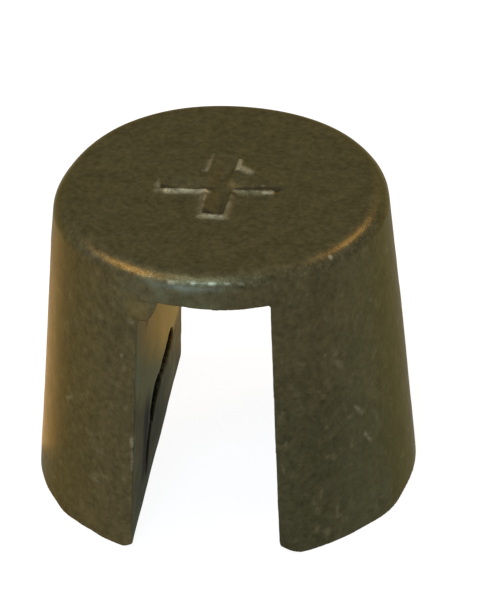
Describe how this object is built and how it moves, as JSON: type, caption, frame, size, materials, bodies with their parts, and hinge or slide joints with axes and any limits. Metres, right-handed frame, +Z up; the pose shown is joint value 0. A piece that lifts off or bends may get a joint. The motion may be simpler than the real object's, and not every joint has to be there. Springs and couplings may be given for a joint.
{
  "type": "battery post adapter",
  "caption": "Tapered lead cap with a plus on its closed top and a wide open slot, worn over a flat battery terminal tab so that a round cable clamp can grip it.",
  "frame": {"origin": "on the post's axis, in the plane that the two feet stand on", "axes": "+Z up the post to its closed top, +X from the left leg to the right leg across the slot, +Y along the slot from front to back"},
  "size_m": [0.0194, 0.0178, 0.0168],
  "materials": {
    "lead_alloy": "satin"
  },
  "bodies": {
    "root": {"post_adapter": "lead_alloy"}
  },
  "joints": []
}
